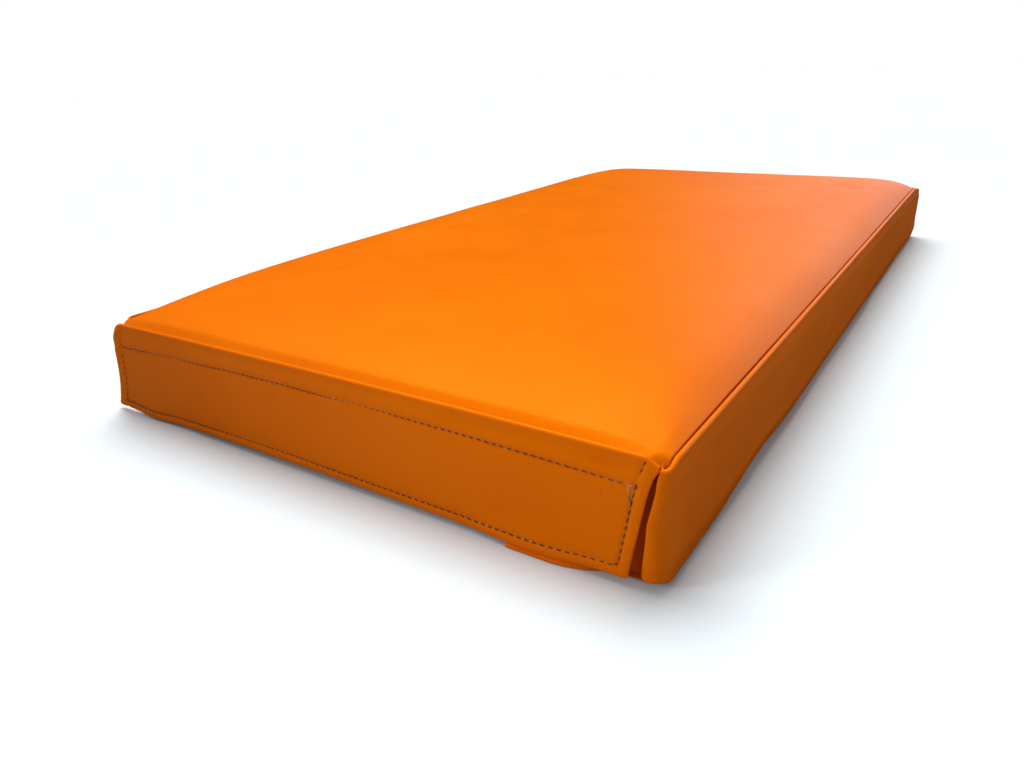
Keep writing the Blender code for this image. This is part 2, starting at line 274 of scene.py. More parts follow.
# ---- materials ----
class Tree:
    """Adds nodes to a node tree and links them."""

    def __init__(self, tree):
        self.tree = tree

    def add(self, kind, **settings):
        node = self.tree.nodes.new(kind)
        for key, value in settings.items():
            setattr(node, key, value)
        return node

    def link(self, source, target):
        self.tree.links.new(source, target)

    def ramp(self, source, low, high, start=0.0, end=1.0, **settings):
        """Carries start..end of a source over to low..high."""
        node = self.add("ShaderNodeMapRange", **settings)
        for key, value in zip(("From Min", "From Max", "To Min", "To Max"), (start, end, low, high)):
            node.inputs[key].default_value = value
        self.link(source, node.inputs["Value"])
        return node.outputs["Result"]

    def mix(self, factor, first, second):
        """Blend of two colours; either may be a colour or a socket."""
        node = self.add("ShaderNodeMix", data_type="RGBA")
        self.link(factor, node.inputs["Factor"])
        for index, value in ((6, first), (7, second)):
            if isinstance(value, tuple):
                node.inputs[index].default_value = (*value, 1.0)
            else:
                self.link(value, node.inputs[index])
        return node.outputs[2]

    def plain(self, kind, colour):
        """A shader of one colour."""
        node = self.add(kind)
        node.inputs["Color"].default_value = (*colour, 1.0)
        return node

    def choose(self, ray, otherwise, chosen):
        """One shader for a kind of ray, another for the rest."""
        node = self.add("ShaderNodeMixShader")
        self.link(self.add("ShaderNodeLightPath").outputs[ray], node.inputs["Fac"])
        self.link(otherwise.outputs[0], node.inputs[1])
        self.link(chosen.outputs[0], node.inputs[2])
        return node


class Nodes(Tree):
    """The nodes of one new material."""

    def __init__(self, name):
        self.material = bpy.data.materials.new(name)
        self.material.use_nodes = True
        super().__init__(self.material.node_tree)
        self.shader = self.tree.nodes["Principled BSDF"]
        self.place = self.add("ShaderNodeTexCoord").outputs["Object"]

    def texture(self, kind, inputs, **settings):
        """A texture over the piece's own coordinates."""
        node = self.add(kind, **settings)
        for key, value in inputs.items():
            node.inputs[key].default_value = value
        self.link(self.place, node.inputs["Vector"])
        return node

    def noise(self, scale, detail=2.0, roughness=0.5):
        inputs = {"Scale": scale, "Detail": detail, "Roughness": roughness}
        return self.texture("ShaderNodeTexNoise", inputs).outputs["Fac"]

    def spots(self, scale):
        return self.texture("ShaderNodeTexVoronoi", {"Scale": scale}).outputs["Distance"]

    def ribs(self, direction, scale):
        inputs = {"Scale": scale, "Distortion": 0.6}
        return self.texture("ShaderNodeTexWave", inputs, bands_direction=direction).outputs["Fac"]

    def marked(self, name):
        """The number that mark() kept for each point."""
        return self.add("ShaderNodeAttribute", attribute_name=name).outputs["Fac"]

    def multiply(self, a, b):
        node = self.add("ShaderNodeMath", operation="MULTIPLY")
        self.link(a, node.inputs[0])
        self.link(b, node.inputs[1])
        return node.outputs[0]

    def bump(self, height, strength, distance, below=None):
        node = self.add("ShaderNodeBump")
        node.inputs["Strength"].default_value = strength
        node.inputs["Distance"].default_value = distance
        self.link(height, node.inputs["Height"])
        if below is not None:
            self.link(below, node.inputs["Normal"])
        return node.outputs["Normal"]

    def use(self, socket, target):
        """Sends a socket to the shader's input."""
        self.link(socket, self.shader.inputs[target])

    def set(self, **values):
        for key, value in values.items():
            self.shader.inputs[key.replace("_", " ")].default_value = value


def vinyl_material():
    """Smooth satin PVC-coated fabric: faint tone changes, fine grain, specks of dust, a few dull scuffs, and
    painted shade inside the seams.
    """
    n = Nodes("vinyl")
    tone = n.ramp(n.noise(9.0, 3.0), 0.0, 1.0, 0.3, 0.7)
    colour = n.mix(tone, (0.96, 0.184, 0.0), (1.0, 0.206, 0.0))
    small = n.ramp(n.spots(300.0), 0.8, 0.0, 0.06, 0.14)
    some = n.ramp(n.noise(160.0, 1.0), 0.0, 1.0, 0.54, 0.62)
    colour = n.mix(n.multiply(small, some), colour, (0.25, 0.055, 0.004))
    # painted shade: darkens the vinyl inside the seams, where the rolled edges shade it
    colour = n.mix(n.marked("painted_seam_shade"), colour, (0.34, 0.055, 0.0))
    n.use(colour, "Base Color")
    n.use(n.ramp(n.noise(26.0, 4.0, 0.7), 0.36, 0.44, 0.35, 0.75), "Roughness")
    n.set(Metallic=0.0, IOR=1.45, Specular_IOR_Level=0.30, Specular_Tint=(1.0, 0.50, 0.02, 1.0))
    grain = n.bump(n.noise(1900.0, 2.0), 0.05, 0.0003)
    n.use(n.bump(n.noise(140.0, 2.0), 0.06, 0.0006, grain), "Normal")
    return n.material


def thread_material():
    """Bonded polyester thread: grey-beige, soiled in places, with painted shade along the first half of each
    stitch.
    """
    n = Nodes("thread")
    soil_and_shade = n.ramp(n.noise(70.0, 3.0), 0.0, 1.0, 0.38, 0.62)
    unshaded = n.mix(soil_and_shade, (0.26, 0.20, 0.11), (0.62, 0.55, 0.42))
    # painted light and shade: each stitch is dark along its first half and light along the rest
    lit = n.ramp(n.marked("along_thread"), 0.0, 1.0, 0.50, 0.85)
    n.use(n.mix(lit, (0.075, 0.045, 0.012), unshaded), "Base Color")
    n.set(Roughness=0.42)
    n.use(n.bump(n.noise(5200.0, 2.0), 0.5, 0.0002), "Normal")
    return n.material


def foam_material():
    """Open-cell foam: grey, matt, with pores."""
    n = Nodes("foam")
    pores = n.spots(900.0)
    n.use(n.mix(n.ramp(pores, 0.0, 1.0, 0.1, 0.6), (0.30, 0.30, 0.29), (0.56, 0.56, 0.54)), "Base Color")
    n.set(Roughness=0.95, Specular_IOR_Level=0.1)
    n.use(n.bump(pores, 0.8, 0.0006), "Normal")
    return n.material


def band_material(name, dark, light):
    """Woven nylon band of a tape: fine ribs in both directions."""
    n = Nodes(name)
    weave = n.multiply(n.ribs("X", 420.0), n.ribs("Z", 520.0))
    n.use(n.mix(weave, dark, light), "Base Color")
    n.set(Roughness=0.7, Sheen_Weight=0.2)
    n.use(n.bump(weave, 0.6, 0.0003), "Normal")
    return n.material


def pile_material(name, dark, light, roughness):
    """Nylon hooks or loops, a little lighter in places."""
    n = Nodes(name)
    tone = n.ramp(n.noise(240.0, 2.0), 0.0, 1.0, 0.35, 0.65)
    n.use(n.mix(tone, dark, light), "Base Color")
    n.set(Roughness=roughness, Sheen_Weight=0.4)
    n.use(n.bump(n.noise(2600.0, 1.0), 0.3, 0.0002), "Normal")
    return n.material


# ---- the outline that the seams follow ----
def seam_bow(x):
    """How much higher than SEAM the front seam is, bowed across the pad."""
    return 0.0033 - 0.025 * (x - 0.06) ** 2


def front_seam(x):
    """Height of the seam along the flap: bowed, and pulled down at the right-hand corner."""
    return SEAM + seam_bow(x) - PULL * smooth(1 - (TIP_X - x) / PULL_REACH)


def seam_height(x, y):
    """Height of the seams, carried over the whole plan."""
    near = smooth(1 - (y - FRONT) / 0.075) * smooth((SIDE - x) / 0.012 + 0.1)
    rear_dip = 0.0074 * smooth(1 - (REAR - y) / 0.06) * smooth((x - 0.14) / 0.08)
    tip = PULL * smooth(1 - np.hypot(x - TIP_X, y - FRONT) / PULL_REACH)
    return SEAM + seam_bow(x) * near - rear_dip - tip


def left_bow(x, y):
    """The left side swells outwards in the middle of its length."""
    along = 1 - np.clip(np.abs(y / REAR), 0, 1) ** 3.2
    return -LEFT_BOW * along * smooth((-x / SIDE - 0.2) / 0.8)


def corner_radius(x, y):
    """Radius of the outline's corner that is nearest."""
    near_right, near_left, far = 0.0020, 0.0045, 0.0095
    return np.where(y > 0, far, np.where(x > 0, near_right, near_left))


def soften_corners(x, y, half_x, low_y, high_y, radius):
    """Rounds the corners of a grid over a plain rectangle."""
    middle, half_y = (low_y + high_y) / 2, (high_y - low_y) / 2
    dx = (np.abs(x) - half_x) / radius + 1
    dy = (np.abs(y - middle) - half_y) / radius + 1
    corner = (dx > 0) & (dy > 0)
    shrink = np.maximum(dx, dy) / np.maximum(np.hypot(dx, dy), 1e-9)
    new_x = np.where(corner, np.sign(x) * (half_x - radius + radius * dx * shrink), x)
    new_y = np.where(corner, np.sign(y - middle) * (half_y - radius + radius * dy * shrink) + middle, y)
    return new_x, new_y


def crown(x, y):
    """Rise of the top over its seams: flat between steep shoulders."""
    middle = (FRONT + REAR) / 2
    across = np.clip(np.abs(x) / (SIDE - ROLL), 0, 1) ** np.where(x > 0, 13.0, 17.0)
    along = np.clip(np.abs(y - middle) / ((REAR - FRONT) / 2 - ROLL), 0, 1) ** np.where(y > 0, 9.0, 10.0)
    return (CROWN + 0.0011) * (1 - across) * (1 - along)


def top_height(x, y):
    """Height of the top panel's outer surface."""
    z = seam_height(x, y) - 0.0014 + crown(x, y)
    z = z + 0.00045 * ripple(x, y, 3, 0.30, 0.09)
    # a shallow diagonal fold runs in from the near right corner
    fold = (SIDE - x) - (y - FRONT) * 0.85
    reach = np.hypot(SIDE - x, y - FRONT)
    fades = smooth(1 - reach / 0.075) * smooth(reach / 0.02)
    z = z - 0.0013 * hump(fold, 0.002, 0.008 + reach * 0.12) * fades
    z = z + 0.0007 * hump(x, -0.150, 0.035) * hump(y, FRONT + 0.030, 0.020)
    # the dip leaves room for the flap when it folds back
    return z - FRONT_DROP * smooth(1 - (y - FRONT - ROLL) / 0.0085)


# ---- cover ----
def cover_top(vinyl):
    """The crowned top panel, with its edge turned down into the seam."""
    inset = ROLL + GROOVE + 0.0006
    xs = stations(-SIDE + inset, SIDE - inset, 0.045, 0.0010, 0.0062)
    ys = stations(FRONT + inset, REAR - inset, 0.060, 0.0010, 0.0080)
    x, y = np.meshgrid(xs, ys)
    x, y = soften_corners(x, y, SIDE - inset, FRONT + inset, REAR - inset, corner_radius(x, y) + 0.002)
    rim = rim_of(*x.shape)
    flat = xyz(x + left_bow(x, y), y, top_height(x, y)).reshape(-1, 3)
    edge = flat[rim]
    ahead = np.roll(edge, -4, axis=0) - np.roll(edge, 4, axis=0)
    outward = xyz(ahead[:, 1], -ahead[:, 0], 0.0)
    outward /= np.linalg.norm(outward, axis=1, keepdims=True)
    # how far out and down each ring of the turned edge lies, and how much painted seam shade it carries
    turned_edge = ((0.0004, 0.0004, 0.3), (0.0006, 0.0010, 0.8), (0.0008, 0.0020, 1.0),
                   (0.0008, 0.0034, 1.0), (0.0007, 0.0060, 1.0), (0.0004, 0.0090, 1.0))
    points, rings, soil_and_shade = [flat], [rim], [np.zeros(len(flat))]
    for out, down, shaded in turned_edge:
        rings.append(len(flat) + (len(points) - 1) * len(rim) + np.arange(len(rim)))
        points.append(edge + outward * out - np.array((0, 0, down)))
        soil_and_shade.append(np.full(len(rim), shaded))
    faces = [grid_faces(*x.shape), *quads_between(rings)]
    obj = new_piece("cover_top", np.concatenate(points), np.concatenate(faces), vinyl)
    mark(obj, "painted_seam_shade", np.concatenate(soil_and_shade))
    thicken(obj)
    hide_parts("top_panel")
    return obj


def boxing_plan(height, under_flap=False):
    """Plan of the right-hand strip at a height: rear, far corner, side, near corner, back behind the flap.

    Gives the points, their outward directions and each one's turn: 0 rear, 1 side, 2 front, 3 return.
    The corner swells forwards beside the flap, except where the flap hangs over it.
    """
    points, outward, turn = [], [], []
    far, widest_near = 0.0100, 0.0085
    middle = math.sin(math.pi * min(height / SEAM, 1.0))
    if under_flap:
        corner_y, near, dive_end, gap_depth = RETURN_Y + 0.0024, widest_near, SIDE - 0.0200, 0.0
    else:
        corner_y, dive_end, gap_depth = CORNER_Y, float(flap_right(height)) + 0.0010, GAP_DEPTH
        dive = 0.0012 + 0.0028 * float(smooth((SEAM - height) / 0.020))
        near = min(SIDE - dive_end - dive, widest_near)
    near_long = near + 0.014 * middle

    def point(x, y, direction, where):
        points.append((x, y))
        outward.append(direction)
        turn.append(where)

    def straight(start, end, direction, where, places):
        for t in places:
            point(start[0] + (end[0] - start[0]) * t, start[1] + (end[1] - start[1]) * t, direction, where)

    def corner(centre, radius_x, radius_y, first, where):
        for k in range(1, 18):
            angle = math.radians(first - 90 * k / 18)
            normal = Vector((math.cos(angle) / radius_x, math.sin(angle) / radius_y)).normalized()
            x, y = centre[0] + radius_x * math.cos(angle), centre[1] + radius_y * math.sin(angle)
            point(x, y, tuple(normal), where + k / 18)

    places = stations(0.0, 1.0, 0.2, 0.004, 0.012)
    straight((0.00015, REAR), (SIDE - far, REAR), (0, 1), 0.0, places[::2])
    corner((SIDE - far, REAR - far), far, far, 90, 0.0)
    straight((SIDE, REAR - far), (SIDE, corner_y + near_long), (1, 0), 1.0, places)
    corner((SIDE - near, corner_y + near_long), near, near_long, 0, 1.0)
    run = dive_end - SIDE + near
    for t in np.linspace(0, 1, 12):
        back = float(smooth(t))
        point(SIDE - near + run * t, corner_y + (RETURN_Y + gap_depth - corner_y) * back, (0, -1), 2 + back)
    for x in np.linspace(dive_end - 0.0006, RETURN_END, 50):
        point(x, RETURN_Y + gap_depth * float(smooth((x - dive_end + 0.026) / 0.022)), (0, -1), 3.0)
    return np.array(points), np.array(outward, float), np.array(turn)


def boxing_profile():
    """Cross-section of a boxing strip, from bottom tuck to top allowance: out, share of height, lift."""
    tuck = 0.0026
    rows = [(-0.0058, 0.0, 0.0009), (-0.0040, 0.0, 0.0004)]
    for k in range(7):
        a = math.radians(-90 + 15 * k)
        rows.append((ROLL - tuck + tuck * math.cos(a), 0.0, tuck + tuck * math.sin(a)))
    for t in np.linspace(0, 1, 36)[1:-1]:
        rows.append((ROLL, t, tuck * (1 - t) - ROLL * t))
    for k in range(13):
        a = math.radians(15 * k)
        rows.append((ROLL * math.cos(a), 1.0, ROLL * math.sin(a) - ROLL))
    rows += [(-ROLL, 1.0, -0.0030), (-ROLL - 0.0001, 1.0, -0.0055), (-ROLL - 0.0002, 1.0, -0.0080)]
    return rows


def return_flare(x, z, mirrored):
    """How far the return's lower edge flares out under the flap's hem."""
    share = 0.25 if mirrored else 1.0
    run = smooth((0.214 - x) / 0.052)
    hidden = 0.0034 * smooth(1 - z / 0.016)
    lip = 0.0070 * smooth(1 - (z - 0.0012) / 0.0022)
    return share * run * (hidden + lip)


def side_lift(y):
    """The right side's lower edge lifts off the floor in places."""
    return 0.0042 * hump(y, -0.30, 0.04) - 0.0008 * hump(y, -0.385, 0.03) + 0.0012 * hump(y, -0.05, 0.06)


def boxing(name, mirrored, vinyl):
    """One side strip: stands on the floor, swells, rolls into the top seam and ends behind the flap."""
    sign = -1 if mirrored else 1
    seed = 40 if mirrored else 17
    least_lift, most_lift = 0.0003, 0.0060
    grid = []
    for out, share, lift in boxing_profile():
        plan, outward, turn = boxing_plan((SEAM - 0.0030) * share, mirrored)
        x, y = plan[:, 0], plan[:, 1]
        behind = smooth(turn - 2)                       # 1 on the return, which lies behind the flap
        exposed = 1 - behind
        along = np.cumsum(np.r_[0, np.hypot(*np.diff(plan, axis=0).T)])
        wave = ripple(along, along * 0, seed, 0.42, 0.055)
        level = ripple(along, along * 0, seed + 1, 0.34, 0.10)
        corner_lift = 0.0022 * hump(turn, 1.7, 0.8)
        if not mirrored:
            corner_lift = corner_lift + side_lift(y) * hump(turn, 1.0, 0.5)
        low = np.clip(0.0012 + 0.0014 * level + corner_lift, least_lift, most_lift)
        low = low * exposed + least_lift * behind
        high = seam_height(sign * x, y) * exposed + (SEAM - 0.0052) * behind
        if mirrored:
            high = high - 0.0040 * smooth((turn - 1.1) / 0.6) * exposed   # tucked under the panel's corner
        offset = out * exposed + max(out, -0.0012) * behind
        offset = offset - ROLL * behind * (abs(out) <= ROLL + 0.0005)
        offset = offset + math.sin(math.pi * share) * exposed * (0.0006 + 0.0017 * wave)
        shoulder = (1 - smooth((share - 0.84) / 0.16)) * smooth(share / 0.2)
        offset = offset + 0.0013 * shoulder * exposed
        offset = offset + 0.0012 * hump(share, 0.14, 0.12) * exposed * (1 + wave)
        z = low + (high - low) * share + lift
        offset = offset + return_flare(x, z, mirrored) * behind
        grid.append(xyz(x + outward[:, 0] * offset, y + outward[:, 1] * offset, z))
    grid = np.array(grid)
    # the return's free lower corner is rounded
    for back, share in ((1, 1.0), (2, 0.7), (3, 0.4), (4, 0.2)):
        grid[:, -back, 0] += 0.0080 * share * smooth(1 - grid[:, -back, 2] / 0.009) ** 1.5
        grid[:, -back, 1] += 0.0030 * share * smooth(1 - grid[:, -back, 2] / 0.004)
    grid[..., 0] *= sign
    if mirrored:
        grid[..., 0] += left_bow(grid[..., 0], grid[..., 1])
    obj = new_piece(name, grid, grid_faces(*grid.shape[:2], flip=not mirrored), vinyl)
    # painted shade on the roll's inner side, where it turns into the seam
    rolled_in = [smooth((-out - 0.0002) / 0.0012) * (share == 1.0) for out, share, _ in boxing_profile()]
    mark(obj, "painted_seam_shade", np.repeat(rolled_in, grid.shape[1]))
    thicken(obj)
    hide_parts("left_boxing" if mirrored else "right_boxing")
    return obj


def cover_bottom(vinyl):
    """The bottom panel, flat on the floor."""
    inset = 0.0040
    xs = stations(-SIDE + inset, SIDE - inset, 0.05, 0.003, 0.012)
    ys = stations(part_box("bottom_panel")[0].y + 0.0008, REAR - inset, 0.05, 0.003, 0.014)
    x, y = np.meshgrid(xs, ys)
    x, y = soften_corners(x, y, xs[-1], ys[0], ys[-1], 0.013)
    z = 0.0002 + 0.00015 * (1 + ripple(x, y, 8, 0.25, 0.07))
    obj = slab("cover_bottom", xyz(x, y, z + SHEET * 0.8), xyz(x, y, z), vinyl)
    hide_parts("bottom_panel")
    return obj


def front_fly(vinyl):
    """The inner front sheet, with a folded hem along its top."""
    xs = stations(FLY_LOW.x + FLY_TRIM, FLY_HIGH.x - FLY_TRIM, 0.03, 0.0015, 0.006)
    zs = stations(FLY_LOW.z + 0.0005, FLY_HIGH.z - 0.0005, 0.02, 0.0008, 0.0030)
    x, z = np.meshgrid(xs, zs)
    wave = 0.00008 * ripple(x, z, 12, 0.2, 0.05)
    crease = 0.00025 * hump(z, FLY_HIGH.z - HEM, 0.0009)
    outer = xyz(x, FLY_LOW.y + 0.0001 + wave + crease, z)
    inner = xyz(x, FLY_HIGH.y + wave, z)
    obj = slab("fly", outer, inner, vinyl)
    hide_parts("front_fly")
    return obj


def foam_block(material):
    """The foam: it swells against the cover, with soft edges and slightly uneven cut faces."""
    inset, soft = 0.0004, 0.004
    half_x = FOAM_HIGH.x - inset
    xs = stations(-half_x, half_x, 0.03, 0.002, 0.012)
    ys = stations(FOAM_LOW.y + inset, FOAM_HIGH.y - inset, 0.03, 0.002, 0.016)
    x, y = np.meshgrid(xs, ys)
    x, y = soften_corners(x, y, half_x, ys[0], ys[-1], FOAM_CORNER)
    edge = np.clip(np.maximum(np.abs(x) - half_x + soft, np.abs(y) - FOAM_HIGH.y + soft) / soft, 0, 1)
    upper = top_height(x, y) - 0.0022 - 0.0022 * edge**2 + 0.0001 * ripple(x, y, 5, 0.03, 0.006)
    lower = FOAM_LOW.z + 0.0003 + 0.0018 * edge**2
    bowed = x + 0.95 * left_bow(x, y)
    top = xyz(bowed, y, upper)
    bottom = xyz(bowed, y, lower)
    rim = rim_of(*x.shape)
    start, end = top.reshape(-1, 3)[rim], bottom.reshape(-1, 3)[rim]
    joins = [start + (end - start) * k / 18 for k in range(1, 18)]
    obj = closed_piece("foam_block", top, bottom, joins, material)
    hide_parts("foam_core")
    return obj


# ---- flap ----
def flap_bottom(x):
    """Height of the flap's lower edge: wavy at its left end, a little raised over the right-hand return."""
    left = -0.0014 * hump(x, -0.190, 0.022)
    right = 0.0005 * smooth((x - 0.122) / 0.016) + 0.0014 * smooth((x - 0.165) / 0.030)
    middle = 0.0018 * hump(x, -0.030, 0.110)
    return FLAP_LOW.z - 0.0002 + left + middle + right + 0.0002 * ripple(x, x * 0, 21, 0.16, 0.05)


def flap_top(x):
    """Height of the flap's rolled upper edge, rounded at its left end."""
    into = np.clip((-0.2160 - x) / 0.0118, 0, 0.999)
    return front_seam(x) - 0.0008 - 0.0090 * (1 - np.sqrt(1 - into**2))


def flap_left(z):
    """Place of the flap's left edge, which leans and bulges."""
    bulge = 0.0018 * np.sin(np.clip((z - 0.006) / 0.062, 0, 1) * math.pi)
    return FLAP_LOW.x - 0.0002 + 0.213 * (z - 0.0059) + bulge - 0.0010 * smooth((0.028 - z) / 0.028)


def flap_right(z):
    """Place of the flap's right edge, which leans and flicks out under the seam."""
    return FLAP_HIGH.x - 0.0150 + 0.168 * (z - 0.003) + 0.0026 * np.exp(-(SEAM + 0.001 - z) / 0.0055)


def tape_row(x):
    """Height of the arched row of stitches that holds the loop tape."""
    d = x - 0.05
    return 0.0618 - np.where(d < 0, 0.078, 0.125) * d * d


# the rows of stitches along the flap's hems
def left_hem(z):
    return flap_left(z) + 0.0095


def right_hem(z):
    return flap_right(z) - 0.0062


def bottom_hem(x):
    return flap_bottom(x) + 0.0052


def needle_holes(places, row):
    """Depth of the dimples where the needle went through, along a row."""
    phase = (places / STITCH) % 1.0
    near = np.minimum(phase, 1 - phase) * STITCH
    return hump(near, 0.0, 0.0009) * row


# puffs and dents of the flap's face: how far out, then middle and width across, then middle and width up
FLAP_PUFFS = (
    (-0.0017, 0.196, 0.013, 0.0680, 0.0042),
    (-0.0007, 0.120, 0.030, 0.0685, 0.0040),
    (0.0007, 0.150, 0.050, 0.048, 0.012),
    (0.0013, -0.196, 0.020, 0.003, 0.010),
    (0.0009, 0.010, 0.110, 0.020, 0.020),
)


def flap_relief(x, z):
    """How far the flap's face stands out from its flat plane."""
    low = flap_bottom(x)
    tape = z - tape_row(x)
    right, left, bottom = x - right_hem(z), x - left_hem(z), z - bottom_hem(x)
    within = smooth((right_hem(z) - x) / 0.003 + 1) * smooth((x - left_hem(z)) / 0.003 + 1)
    above = smooth((z - low) / 0.010)
    relief = 0.0006 * np.exp(-np.clip(-tape, 0, 1) / 0.012) * (tape < 0) * smooth(-tape / 0.004)
    relief = relief + 0.0004 * hump(tape, 0.0050, 0.0030) * within
    channels = 0.00062 * hump(tape, 0, 0.0013) * within
    channels = channels + 0.00055 * hump(right, 0, 0.0013) * smooth((z - low) / 0.006)
    channels = channels + 0.00065 * hump(left, 0.0006, 0.0015)
    channels = channels + 0.00048 * hump(bottom, 0, 0.0013) * within
    holes = needle_holes(x, hump(tape, 0, 0.0009)) * within
    holes = holes + needle_holes(z, hump(right, 0, 0.0009)) * above
    holes = holes + needle_holes(x, hump(bottom, 0, 0.0009)) * within
    relief = relief - channels - 0.00040 * holes
    relief = relief + (0.0006 * hump(right, 0.0035, 0.0026) + 0.0016 * hump(left, -0.0048, 0.0036)) * above
    relief = relief + 0.00035 * hump(bottom, -0.0028, 0.0022)
    relief = relief + 0.00085 * ripple(x, z, 31, 0.24, 0.05) * above
    relief = relief + FLAP_BELLY * smooth((front_seam(x) - 0.003 - z) / 0.012)
    relief = relief + 0.0028 * hump(x, 0.150, 0.030) * smooth(1 - (z - 0.002) / 0.020)
    for height, x_middle, x_width, z_middle, z_width in FLAP_PUFFS:
        relief = relief + height * hump(x, x_middle, x_width) * hump(z, z_middle, z_width)
    return relief


def on_flap(x, z):
    """Points of the flap's outer face."""
    return xyz(x, FLAP_FACE - flap_relief(x, z) * smooth((flap_top(x) - z) / 0.006), z)


def flap_thickness(x, z):
    """One sheet, two where the hem is folded in."""
    depth = np.minimum(np.minimum(x - flap_left(z), flap_right(z) - x), z - flap_bottom(x))
    return SHEET * (1 + 0.95 * smooth((HEM - depth) / 0.0009 + 0.5) * smooth((0.071 - z) / 0.001))


def flap_line(columns, t):
    """Places across the flap at a share t of its way down, its lower corners a little rounded."""
    z = SEAM + (FLAP_LOW.z - SEAM) * t
    left, right = flap_left(z), flap_right(z)
    corner = 0.0012 * smooth((t - 0.975) / 0.025) ** 2
    return left + corner + (right - left - 2 * corner) * columns


def flap(vinyl):
    """The closing flap: rolled over at the seam, hemmed on three sides, pressed in along its stitches."""
    columns = stations(0.0, 1.0, 0.05, 0.0016, 0.0025)
    down = stations(0.0, 1.0, 0.12, 0.006, 0.0165)
    grid = []
    x = flap_line(columns, 0.0)
    for angle in np.radians(range(186, -1, -14)):
        y = FRONT - ROLL * np.cos(angle)
        z = flap_top(x) - ROLL + ROLL * np.sin(angle)
        grid.append(xyz(x, y, z))
    for t in down[1:]:
        x = flap_line(columns, t)
        top = flap_top(x) - ROLL
        grid.append(on_flap(x, top + (flap_bottom(x) - top) * t))
    outer = np.array(grid)
    normal = np.cross(np.gradient(outer, axis=0), np.gradient(outer, axis=1))
    normal /= np.linalg.norm(normal, axis=2, keepdims=True)
    inwards = np.where(normal[outer.shape[0] // 2, outer.shape[1] // 2, 1] > 0, 1.0, -1.0)
    thick = flap_thickness(outer[..., 0], outer[..., 2])
    inner = outer + normal * inwards * thick[..., None]
    obj = slab("flap", outer, inner, vinyl, rim_steps=5)
    # painted shade on the back of the flap's roll, which lies in the seam
    behind_roll = np.zeros(len(obj.data.vertices))
    behind_roll[:outer.shape[0] * outer.shape[1]] = smooth((outer[..., 1] - FRONT) / 0.0012).ravel()
    mark(obj, "painted_seam_shade", behind_roll)
    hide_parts("closing_flap")
    return obj


# ---- stitches ----
FORWARDS, BACKWARDS, UPWARDS = (0, -1, 0), (0, 1, 0), (0, 0, 1)


def along(points, pitch):
    """Places every pitch along a line of points."""
    points = np.asarray(points, float)
    length = np.r_[0, np.cumsum(np.linalg.norm(np.diff(points, axis=0), axis=1))]
    count = max(int(round(length[-1] / pitch)), 1)
    where = np.linspace(0, length[-1], count + 1)
    return np.stack([np.interp(where, length, points[:, k]) for k in range(3)], axis=1)


def stitches(holes, out, seed):
    """Paths of single stitches between needle holes, each arched along out and dipping into its holes."""
    rng = np.random.default_rng(seed)
    slack, inset = 0.12, 0.03
    t = np.linspace(0, 1, 8)
    rise = THREAD * (1.1 * np.sqrt(np.sin(np.pi * t)) + 0.5 * t - 1.6 * (np.abs(2 * t - 1) ** 6))
    start, end = holes[:-1, None], holes[1:, None]
    share = (inset + (1 - 2 * inset) * t)[None, :, None]
    run = (end - start) / np.linalg.norm(end - start, axis=2, keepdims=True)
    slant = np.cross(run, np.asarray(out, float)) * (SLANT * (t - 0.5))[None, :, None]
    stray = rng.normal(0, slack * THREAD, (len(holes) - 1, 1, 3)) * np.sin(np.pi * t)[None, :, None]
    height = rise[None, :, None] * rng.uniform(0.85, 1.15, (len(holes) - 1, 1, 1))
    return start + (end - start) * share + height * np.asarray(out)[None, None] + slant + stray


def seam_row(name, lines, material, node, body, radius=THREAD, pitch=STITCH, more=()):
    """One row of stitches as a piece. Each line of points comes with the way that its face looks."""
    paths = [stitches(along(line, pitch), face, 100 + k) for k, (line, face) in enumerate(lines)]
    # the loose tails get no painted shade
    unshaded = len(more[-1]) if more else 0
    obj = tubes(name, np.concatenate([*paths, *more]), radius, material, unshaded=unshaded)
    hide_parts(node)
    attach(obj, body)


def flap_rows(material):
    """The flap's rows: the hem's U, and the tape's row with its backtack and loose tail."""
    def row(name, outside, through, node, more=()):
        inside = outside + np.array((0, through, 0))
        seam_row(name, [(outside, FORWARDS), (inside, BACKWARDS)], material, node, "flap", more=more)

    count = 240
    right_low = flap_bottom(0.2) + 0.0052
    z = np.linspace(FLAP_HIGH.z, right_low, count)
    right = on_flap(right_hem(z), z)
    x = np.linspace(right_hem(right_low), left_hem(np.array(0.0065)), 3 * count)
    bottom = on_flap(x, bottom_hem(x))
    z = np.linspace(bottom[-1, 2], FLAP_HIGH.z - 0.009, count)
    left = on_flap(left_hem(z), z) + np.array((0, 0.0003, 0))   # pulled in deep
    row("flap_hem_stitches", np.concatenate([right, bottom[1:], left[1:]]), SHEET * 1.95, "flap_hem_thread")

    x = np.linspace(left_hem(np.array(0.055)) + 0.001, right_hem(np.array(0.0585)) - 0.0005, 4 * count)
    outside = on_flap(x, tape_row(x))
    ends = [backtack(outside[0], False), backtack(outside[-1], True)]
    row("loop_tape_stitches", outside, SHEET + 0.0014, "loop_tape_thread", ends)


